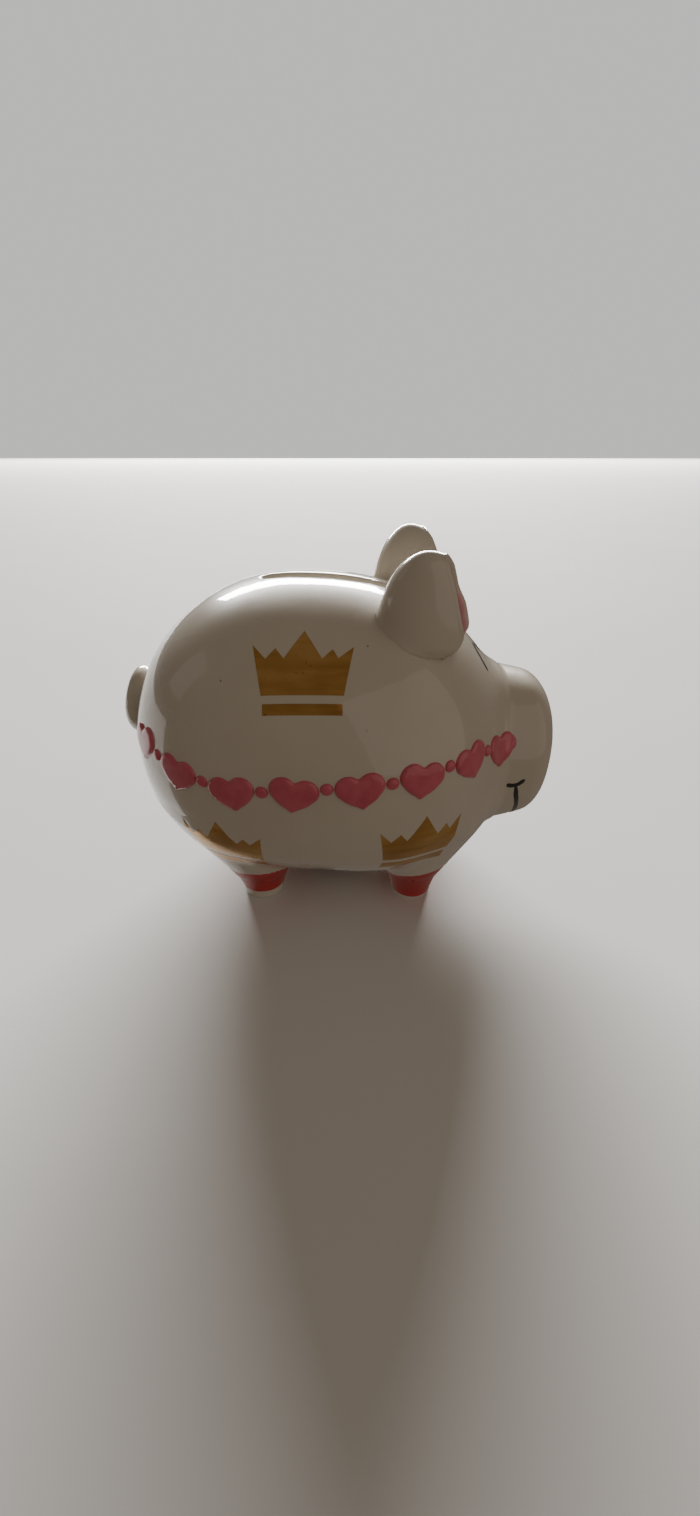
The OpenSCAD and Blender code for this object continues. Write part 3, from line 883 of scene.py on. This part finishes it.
def makeCrowns():
    down = crown["middle"]
    points = [(-crown["baseHalf"], 0)] + crown["tips"] + [(crown["baseHalf"], 0)]
    half, top = crown["bandHalf"], crown["bandTop"]
    for where, place in crown["places"].items():
        low = crown["bandLow"][where]
        band = [(-half, low), (half, low), (half, top), (-half, top)]
        bm = bmesh.new()
        for outline in (points, band):
            layMotif(bm, [(x, y - down) for x, y in outline], Vector(place), 0, paint["gold"])
        mirrorAcross(bm)
        finishPiece(bm, "gold_crown_" + where, [goldLustre], sharp=50)


makeCrowns()

garland = {"hearts": 8, "heartW": 12.0, "dotR": 1.6, "height": 0.75, "roll": 1.3, "tilt": 8,
           "insets": (0.12, 0.25, 0.35, 0.5),
           "path": [(-46, -29, 60.0), (-38, -37, 57.0), (-20, -45, 54.5), (0, -47, 56.0), (19, -45, 57.0),
                    (32, -39, 58.2), (40, -32, 57.4), (47, -23, 55.0)]}


def smoothPath(points, steps=8):
    # Catmull-Rom curve through the points
    path = [Vector(p) for p in points]
    ends = [path[0] * 2 - path[1]] + path + [path[-1] * 2 - path[-2]]
    made = []
    for a, b, c, d in zip(ends, ends[1:], ends[2:], ends[3:]):
        for k in range(steps):
            t = k / steps
            made.append(0.5 * (2 * b + (c - a) * t + (2 * a - 5 * b + 4 * c - d) * t * t
                               + (3 * b - a - 3 * c + d) * t ** 3))
    return made + [path[-1]]


def evenSpots(points, count):
    # places at equal steps along a path laid on the skin
    laid = [skin.find_nearest(p)[0] for p in smoothPath(points, 24)]
    run = [0.0]
    for a, b in zip(laid, laid[1:]):
        run.append(run[-1] + (b - a).length)
    spots = []
    for k in range(count):
        want = run[-1] * k / (count - 1)
        j = max(i for i in range(len(run) - 1) if run[i] <= want + 1e-6)
        spots.append(laid[j].lerp(laid[j + 1], clamp01((want - run[j]) / (run[j + 1] - run[j]))))
    return spots


# shares of a heart's width, and the notch in mm
heart = {"lobe": 0.275, "apart": 0.225, "tip": 0.05, "low": 0.46, "sideRise": 0.31, "bow": 0.045,
         "notch": 0.25}


def heartOutline(width):
    # two round lobes, slightly bowed sides and a blunt tip, counter-clockwise from the tip
    lobe, apart, tip = width * heart["lobe"], width * heart["apart"], width * heart["tip"]
    low, sideRise = heart["low"], heart["sideRise"]
    right = [(tip * math.cos(a), -width * low + tip * math.sin(a)) for a in (-1.5, -1.1, -0.7)]
    for k in range(1, 6):
        t = k / 6
        bow = width * heart["bow"] * math.sin(math.pi * t)
        right.append((tip + (apart + lobe * 0.80 - tip) * t + bow * 0.6,
                      -width * (low - sideRise * t) - bow * 0.7))
    for k in range(15):
        a = math.radians(-36 + k * 13)
        right.append((apart + lobe * math.cos(a), lobe * math.sin(a)))
    right = [p for p in right if p[0] > 0.1]
    notch = (0.0, right[-1][1] - heart["notch"])
    return right + [notch] + [(-x, y) for x, y in right[::-1]]


def dotOutline(radius, points=24):
    return [(radius * math.cos(2 * math.pi * k / points), radius * math.sin(2 * math.pi * k / points))
            for k in range(points)]


def makeGarland():
    bm = bmesh.new()
    for k, spot in enumerate(evenSpots(garland["path"], 2 * garland["hearts"] - 1)):
        if k % 2 == 0:
            tilt = garland["tilt"] * (1 if k % 4 == 0 else -1)
            layMotif(bm, heartOutline(garland["heartW"]), spot, tilt, garland["height"], garland["roll"],
                     garland["insets"])
        else:
            layMotif(bm, dotOutline(garland["dotR"]), spot, 0, garland["height"], garland["roll"],
                     garland["insets"][:3])
    mirrorAcross(bm)
    finishPiece(bm, "heart_garland", [pinkEnamel], sharp=70)


makeGarland()

face = {"stroke": 1.4, "sides": 12, "blunt": 0.15, "taper": 7,
        "lid": [(-1.9, 74.4), (-2.7, 76.0), (-4.6, 77.0), (-7.4, 76.0), (-9.8, 74.1), (-11.7, 71.8)],
        "corner": [(51.3, -20.5, 41.8), (52.8, -20.3, 41.2), (54.8, -19.9, 41.5), (56.5, -19.6, 42.8)],
        "smile": [(54.0, -19.9, 41.2), (55.0, -19.0, 37.0), (56.4, -17.5, 32.0), (57.2, -14.0, 27.5),
                  (57.4, -8.0, 24.6), (57.6, 0.0, 23.6)]}


def brushStroke(bm, points, width, openEnd=False):
    # a flat rounded stroke along the skin, thinner at its free ends
    path = smoothPath(points)
    loop = None
    for k, p in enumerate(path):
        spot, normal, facing, gap = skin.find_nearest(p)
        ahead = (path[min(k + 1, len(path) - 1)] - path[max(k - 1, 0)]).normalized()
        across = ahead.cross(normal).normalized()
        t = k / (len(path) - 1)
        free = t if openEnd else min(t, 1 - t)
        half = width / 2 * math.sqrt(clamp01(face["blunt"] + free * face["taper"]))
        if loop is None:
            ring = bmesh.ops.create_circle(bm, segments=face["sides"], radius=1)["verts"]
            loop = list({e for v in ring for e in v.link_edges})
            angles = {v: math.atan2(v.co.y, v.co.x) for v in ring}
            first = loop
        else:
            verts, loop = extrudeLoop(bm, loop)
            before, angles = angles, {}
            for v in verts:
                last = [e.other_vert(v) for e in v.link_edges if e.other_vert(v) in before][0]
                angles[v] = before[last]
        for v, a in angles.items():
            v.co = spot + across * half * math.cos(a) + normal * (paint["ink"] * (0.4 + 1.6 * math.sin(a)))
    bmesh.ops.holes_fill(bm, edges=first + loop, sides=0)


def onForehead(y, z):
    return skin.ray_cast(Vector((90, y, z)), Vector((-1, 0, 0)))[0]


def makeFace():
    bm = bmesh.new()
    brushStroke(bm, [onForehead(y, z) for y, z in face["lid"]], face["stroke"])
    brushStroke(bm, face["corner"], face["stroke"])
    brushStroke(bm, face["smile"], face["stroke"], True)
    mirrorAcross(bm)
    finishPiece(bm, "painted_face", [blackPaint], sharp=50)


makeFace()

# Floor, lights and camera

stage = {"floorHalf": 9.0, "seam": -0.03, "floor": (0.80, 0.79, 0.775), "room": (0.60, 0.508, 0.415),
         "roomStrength": 0.25, "backdrop": (0.69, 0.685, 0.675), "aim": (0, 0, 0.05)}


def makeFloor():
    material, tree, shader = newMaterial("pale_floor")
    shade = objectNoise(tree, 6, 3)
    pale = stage["floor"]
    tree.links.new(colorRamp(tree, shade, [(0.3, tuple(c * 0.96 for c in pale)), (0.7, pale)]),
                   shader.inputs["Base Color"])
    shader.inputs["Roughness"].default_value = 0.8
    # clear from underneath, so that the belly can be looked at
    mix = tree.nodes.new("ShaderNodeMixShader")
    clear = tree.nodes.new("ShaderNodeBsdfTransparent")
    tree.links.new(tree.nodes.new("ShaderNodeNewGeometry").outputs["Backfacing"], mix.inputs["Fac"])
    for socket, source in zip(mix.inputs[1:], (shader, clear)):
        tree.links.new(source.outputs["BSDF"], socket)
    tree.links.new(mix.outputs["Shader"], tree.nodes["Material Output"].inputs["Surface"])
    # laid in three sheets: only the one behind the rump is mirrored in the glaze
    wide, seam = stage["floorHalf"], stage["seam"]
    sheets = {"floor_rear": ((-wide, 0), (seam, wide)), "floor_head": ((0, wide), (seam, wide)),
              "floor_near": ((-wide, wide), (-wide, seam))}
    for name, (xs, ys) in sheets.items():
        bm = bmesh.new()
        bmesh.ops.create_grid(bm, x_segments=1, y_segments=1, size=1)
        for v in bm.verts:
            v.co = (xs[v.co.x > 0], ys[v.co.y > 0], 0)
        mesh = bpy.data.meshes.new(name)
        bm.to_mesh(mesh)
        bm.free()
        mesh.materials.append(material)
        floor = bpy.data.objects.new(name, mesh)
        floor.visible_diffuse = False
        floor.visible_glossy = name == "floor_rear"
        bpy.context.scene.collection.objects.link(floor)


def makeWorld():
    # warm dim room light on the pig, a plain pale backdrop behind it
    world = bpy.data.worlds.new("studio")
    world.use_nodes = True
    tree = world.node_tree
    room = tree.nodes["Background"]
    room.inputs["Color"].default_value = (*stage["room"], 1)
    room.inputs["Strength"].default_value = stage["roomStrength"]
    backdrop = tree.nodes.new("ShaderNodeBackground")
    backdrop.inputs["Color"].default_value = (*stage["backdrop"], 1)
    mix = tree.nodes.new("ShaderNodeMixShader")
    tree.links.new(tree.nodes.new("ShaderNodeLightPath").outputs["Is Camera Ray"], mix.inputs["Fac"])
    for socket, source in zip(mix.inputs[1:], (room, backdrop)):
        tree.links.new(source.outputs["Background"], socket)
    tree.links.new(mix.outputs["Shader"], tree.nodes["World Output"].inputs["Surface"])
    bpy.context.scene.world = world


def addSoftbox(name, place, aim, width, height, power, color):
    light = bpy.data.lights.new(name, "AREA")
    light.shape = "RECTANGLE"
    light.size, light.size_y = width, height
    light.energy, light.color = power, color
    lamp = bpy.data.objects.new(name, light)
    lamp.location = place
    lamp.rotation_euler = (Vector(aim) - Vector(place)).to_track_quat("-Z", "Y").to_euler()
    lamp.visible_camera = False
    bpy.context.scene.collection.objects.link(lamp)


lamps = {
    "window_behind": {"place": (-0.3, 9.0, 3.8), "width": 9.0, "height": 1.7, "power": 3100,
                      "color": (1.0, 0.985, 0.96)},
    "side_left": {"place": (-0.95, 0.05, 0.55), "width": 0.35, "height": 0.5, "power": 0.1,
                  "color": (1.0, 0.98, 0.95)},
    "front_fill": {"place": (1.3, -1.0, 0.6), "width": 2.6, "height": 2.2, "power": 5.2,
                   "color": (1.0, 0.89, 0.76)},
}


def makeLights():
    for name, lamp in lamps.items():
        addSoftbox(name, aim=stage["aim"], **lamp)


camera = {"focalPixels": 526.0, "frameHeight": 1516.0, "sensor": 36.0,
          "place": (8.66, -147.69, 123.92), "pitch": 30.45, "yaw": -0.74}


def makeCamera():
    data = bpy.data.cameras.new("photo_camera")
    data.sensor_width = camera["sensor"]
    data.lens = camera["focalPixels"] / camera["frameHeight"] * camera["sensor"]
    data.clip_start = 0.005
    item = bpy.data.objects.new("photo_camera", data)
    item.location = (Vector(camera["place"]) + Vector((wideX, 0, 0))) * mm
    pitch, yaw = math.radians(camera["pitch"]), math.radians(camera["yaw"])
    ahead = Vector((math.sin(yaw) * math.cos(pitch), math.cos(yaw) * math.cos(pitch), -math.sin(pitch)))
    item.rotation_euler = ahead.to_track_quat("-Z", "Y").to_euler()
    bpy.context.scene.collection.objects.link(item)
    bpy.context.scene.camera = item


makeFloor()
makeWorld()
makeLights()
makeCamera()
print("stage set")
